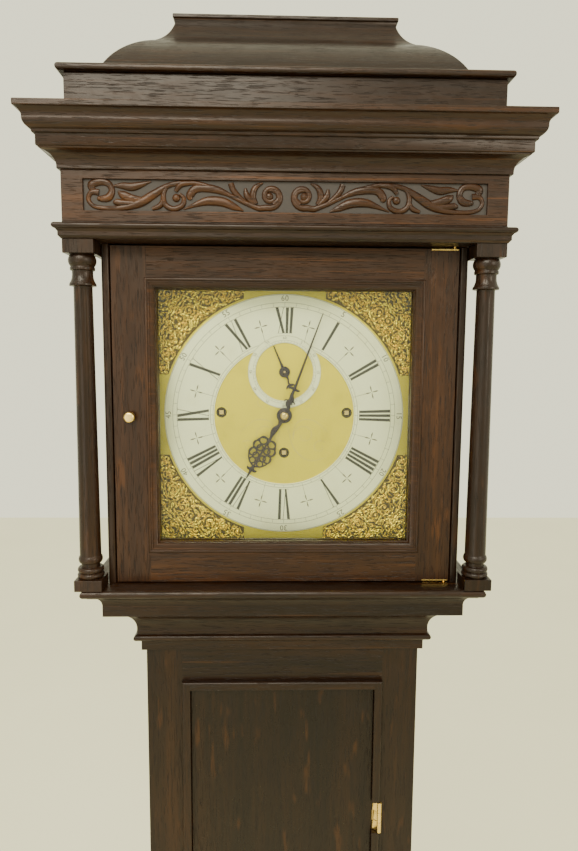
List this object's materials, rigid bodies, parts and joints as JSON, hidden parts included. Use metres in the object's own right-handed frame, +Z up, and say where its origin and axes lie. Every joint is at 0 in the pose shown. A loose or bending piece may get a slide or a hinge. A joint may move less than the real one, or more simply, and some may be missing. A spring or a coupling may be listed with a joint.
{
  "type": "grandfather clock",
  "caption": "Tall oak longcase clock with sliding hood, glazed hood door, square brass dial, hinged trunk door, seconds pendulum and cord-hung weights.",
  "frame": {"origin": "middle of the whole outline on the floor, under the clock", "axes": "+Z up, front of the clock and its dial face -Y, +X to the right of a person who faces the dial"},
  "size_m": [0.528, 0.291, 2.15],
  "materials": {
    "dark_oak": "waxed, semi-gloss",
    "plain_oak": "unfinished",
    "brass": "polished",
    "dial_brass": "matted centre, lacquered",
    "gilt_brass": "cast and gilded",
    "silvered_brass": "silvered, brushed round",
    "blued_steel": "fire blued",
    "steel": "filed",
    "bell_metal": "turned bronze",
    "clock_glass": "clear, old sheet",
    "weight_iron": "cast, oiled",
    "gut": "twisted gut"
  },
  "bodies": {
    "case": {"plinth_boards": "dark_oak", "skirting": "dark_oak", "base_moulding": "dark_oak", "trunk_sides": "dark_oak", "trunk_front_frame": "dark_oak", "throat_moulding": "dark_oak", "backboard": "plain_oak", "seatboard": "plain_oak", "trunk_hinge_leaves": "brass", "dial_plate": "dial_brass", "chapter_ring": "silvered_brass", "seconds_ring": "silvered_brass", "spandrels": "gilt_brass", "movement_plates": "brass", "plate_pillars": "brass", "back_cock": "brass", "hour_bell": "bell_metal", "going_line": "gut", "strike_line": "gut", "chime_line": "gut"},
    "trunk_door": {"trunk_door_panel": "dark_oak", "trunk_door_moulding": "dark_oak", "trunk_door_leaves": "brass", "trunk_door_lock": "brass"},
    "hood": {"hood_base_frame": "dark_oak", "hood_sides": "dark_oak", "hood_mask": "dark_oak", "architrave_moulding": "dark_oak", "frieze_board": "dark_oak", "cornice_moulding": "dark_oak", "hood_top_board": "dark_oak", "caddy_box": "dark_oak", "caddy_top": "dark_oak", "front_columns": "dark_oak", "rear_columns": "dark_oak", "hood_hinge_plates": "brass"},
    "hood_door": {"hood_door_frame": "dark_oak", "hood_door_glass": "clock_glass", "hood_door_knob": "brass", "hood_door_straps": "brass"},
    "minute_arbor": {"minute_hand": "blued_steel", "cannon_pinion": "brass"},
    "hour_pipe": {"hour_hand": "blued_steel", "hour_wheel": "brass"},
    "minute_wheel_body": {"minute_wheel": "brass"},
    "seconds_arbor": {"seconds_hand": "blued_steel", "escape_wheel": "brass"},
    "third_arbor": {"third_wheel": "brass"},
    "centre_arbor": {"centre_wheel": "brass"},
    "great_wheel_body": {"great_wheel": "brass"},
    "anchor": {"anchor_and_crutch": "steel"},
    "pendulum": {"pendulum_rod": "steel", "pendulum_bob": "brass"},
    "going_drum": {"going_barrel": "brass"},
    "strike_drum": {"strike_barrel": "brass"},
    "chime_drum": {"chime_barrel": "brass"},
    "going_weight_body": {"going_weight": "weight_iron"},
    "strike_weight_body": {"strike_weight": "weight_iron"},
    "chime_weight_body": {"chime_weight": "weight_iron"},
    "hammer": {"strike_hammer": "steel"}
  },
  "joints": [
    {"name": "hood_slide", "type": "slide", "parent": "case", "child": "hood", "axis": [0, -1, 0], "range_m": [0, 0.3]},
    {"name": "hood_door_hinge", "type": "hinge", "parent": "hood", "child": "hood_door", "pos_m": [0.184, -0.0805, 1.695], "axis": [0, 0, 1], "range_deg": [0, 100]},
    {"name": "trunk_door_hinge", "type": "hinge", "parent": "case", "child": "trunk_door", "pos_m": [0.1225, -0.0455, 0.9645], "axis": [0, 0, 1], "range_deg": [0, 110]},
    {"name": "minute_hand_turn", "type": "hinge", "parent": "case", "child": "minute_arbor", "pos_m": [0, -0.04, 1.695], "axis": [0, 1, 0], "continuous": true},
    {"name": "hour_hand_turn", "type": "hinge", "parent": "case", "child": "hour_pipe", "pos_m": [0, -0.04, 1.695], "axis": [0, 1, 0], "continuous": true},
    {"name": "minute_wheel_turn", "type": "hinge", "parent": "case", "child": "minute_wheel_body", "pos_m": [0.0264, -0.02, 1.695], "axis": [0, 1, 0], "continuous": true},
    {"name": "seconds_hand_turn", "type": "hinge", "parent": "case", "child": "seconds_arbor", "pos_m": [0, -0.04, 1.7456], "axis": [0, 1, 0], "continuous": true},
    {"name": "third_wheel_turn", "type": "hinge", "parent": "case", "child": "third_arbor", "pos_m": [0.0116, 0.025, 1.72147], "axis": [0, 1, 0], "continuous": true},
    {"name": "centre_wheel_turn", "type": "hinge", "parent": "case", "child": "centre_arbor", "pos_m": [0, 0.04, 1.695], "axis": [0, 1, 0], "continuous": true},
    {"name": "great_wheel_turn", "type": "hinge", "parent": "case", "child": "great_wheel_body", "pos_m": [0, 0, 1.6503], "axis": [0, 1, 0], "continuous": true},
    {"name": "pendulum_swing", "type": "hinge", "parent": "case", "child": "pendulum", "pos_m": [0, 0.079, 1.77262], "axis": [0, 1, 0], "range_deg": [-2.5, 2.5]},
    {"name": "anchor_rock", "type": "hinge", "parent": "case", "child": "anchor", "pos_m": [0, 0.03, 1.77262], "axis": [0, 1, 0], "range_deg": [-2.5, 2.5]},
    {"name": "strike_winding", "type": "hinge", "parent": "case", "child": "strike_drum", "pos_m": [-0.0735, 0.019, 1.698], "axis": [0, 1, 0], "range_deg": [0, 5400]},
    {"name": "strike_weight_travel", "type": "slide", "parent": "case", "child": "strike_weight_body", "axis": [0, 0, 1], "range_m": [0, 0.994], "deforming": ["strike_line"]},
    {"name": "going_winding", "type": "hinge", "parent": "case", "child": "going_drum", "pos_m": [0, 0.019, 1.6503], "axis": [0, 1, 0], "range_deg": [0, 5400]},
    {"name": "going_weight_travel", "type": "slide", "parent": "case", "child": "going_weight_body", "axis": [0, 0, 1], "range_m": [0, 0.994], "deforming": ["going_line"]},
    {"name": "chime_winding", "type": "hinge", "parent": "case", "child": "chime_drum", "pos_m": [0.0735, 0.019, 1.698], "axis": [0, 1, 0], "range_deg": [0, 5400]},
    {"name": "chime_weight_travel", "type": "slide", "parent": "case", "child": "chime_weight_body", "axis": [0, 0, 1], "range_m": [0, 0.994], "deforming": ["chime_line"]},
    {"name": "hammer_lift", "type": "hinge", "parent": "case", "child": "hammer", "pos_m": [-0.07, 0.02, 1.77], "axis": [0, -1, 0], "range_deg": [0, 12]}
  ],
  "couplings": [
    {"joint": "hour_hand_turn", "follows": "minute_hand_turn", "ratio": 0.083333},
    {"joint": "minute_wheel_turn", "follows": "minute_hand_turn", "ratio": -0.33333},
    {"joint": "third_wheel_turn", "follows": "seconds_hand_turn", "ratio": -0.125},
    {"joint": "centre_wheel_turn", "follows": "seconds_hand_turn", "ratio": 0.016667},
    {"joint": "great_wheel_turn", "follows": "seconds_hand_turn", "ratio": -0.0013889},
    {"joint": "anchor_rock", "follows": "pendulum_swing", "ratio": 1},
    {"joint": "strike_winding", "follows": "strike_weight_travel", "rad_per_m": 94.787},
    {"joint": "going_winding", "follows": "going_weight_travel", "rad_per_m": 94.787},
    {"joint": "chime_winding", "follows": "chime_weight_travel", "rad_per_m": 94.787}
  ]
}
